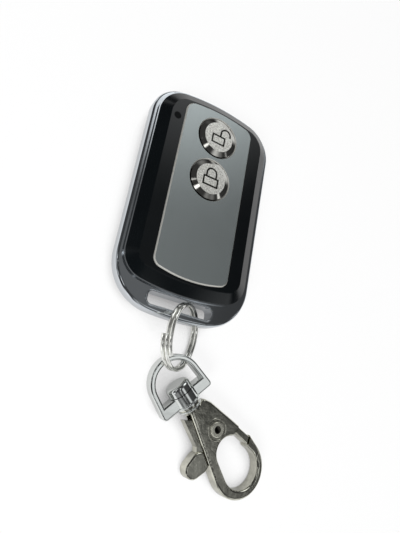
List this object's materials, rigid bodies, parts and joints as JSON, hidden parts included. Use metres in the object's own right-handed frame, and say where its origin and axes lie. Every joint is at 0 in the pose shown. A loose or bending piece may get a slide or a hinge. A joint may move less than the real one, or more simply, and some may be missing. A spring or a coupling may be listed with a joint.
{
  "type": "gate remote control",
  "caption": "Flat two-button gate remote key fob with a metal rim, a split ring and a swivel trigger clasp.",
  "frame": {"origin": "on the flat back face, midway across the fob and midway between its buttons' end and its ring's end", "axes": "+Y towards the buttons' end, +X to the right seen from the front, +Z out of the front face"},
  "size_m": [0.0514, 0.1, 0.0125],
  "materials": {
    "rim_chrome": "polished",
    "case_black": "satin",
    "plate_silver": "brushed",
    "key_chrome": "polished",
    "board_green": "satin",
    "part_black": "matt",
    "part_metal": "satin",
    "copper": "satin",
    "lens_clear": "clear",
    "led_epoxy": "clear",
    "cell_steel": "brushed",
    "spring_steel": "polished",
    "ring_nickel": "polished",
    "clasp_nickel": "polished"
  },
  "bodies": {
    "fob": {"chrome_frame": "rim_chrome", "front_cover": "case_black", "back_cover": "case_black", "face_plate": "plate_silver", "circuit_board": "board_green", "encoder_chip": "part_black", "antenna_loop": "copper", "cover_screws": "part_metal", "tact_switch_unlock": "part_metal", "tact_switch_lock": "part_metal", "led_lens": "lens_clear", "indicator_led": "led_epoxy", "saw_resonator": "part_metal", "rf_transistor": "part_black", "chip_passives": "part_metal", "coin_cell": "cell_steel", "battery_contact": "spring_steel", "battery_clip": "spring_steel"},
    "unlock_key": {"button_unlock": "key_chrome", "switch_plunger_unlock": "part_black"},
    "lock_key": {"button_lock": "key_chrome", "switch_plunger_lock": "part_black"},
    "key_ring": {"split_ring": "ring_nickel"},
    "eye": {"swivel_eye": "clasp_nickel"},
    "clasp": {"swivel_post": "clasp_nickel", "clasp_body": "clasp_nickel", "trigger_rivet": "clasp_nickel", "trigger_spring": "spring_steel"},
    "trigger": {"trigger_lever": "clasp_nickel"}
  },
  "joints": [
    {"name": "unlock_press", "type": "slide", "parent": "fob", "child": "unlock_key", "axis": [0, 0, -1], "range_m": [0, 0.0003], "stiffness_N_per_m": 1500},
    {"name": "lock_press", "type": "slide", "parent": "fob", "child": "lock_key", "axis": [0, 0, -1], "range_m": [0, 0.0003], "stiffness_N_per_m": 1500},
    {"name": "ring_swing", "type": "hinge", "parent": "fob", "child": "key_ring", "pos_m": [0, -0.03085, 0.00545], "axis": [1, 0, 0], "range_deg": [0, 60]},
    {"name": "eye_swing", "type": "hinge", "parent": "key_ring", "child": "eye", "pos_m": [0.00393, -0.0426, 0.00421], "axis": [0.7269, 0.3133, -0.6112], "range_deg": [-30, 12]},
    {"name": "clasp_swivel", "type": "hinge", "parent": "eye", "child": "clasp", "pos_m": [0.00827, -0.0495, 0.0037], "axis": [0.752, -0.656, -0.0645], "continuous": true},
    {"name": "trigger_press", "type": "hinge", "parent": "clasp", "child": "trigger", "pos_m": [0.01692, -0.05439, 0.00307], "axis": [-0.0486, 0.0424, -0.9979], "range_deg": [0, 9], "stiffness_Nm_per_rad": 0.02, "deforming": ["trigger_spring"]}
  ]
}
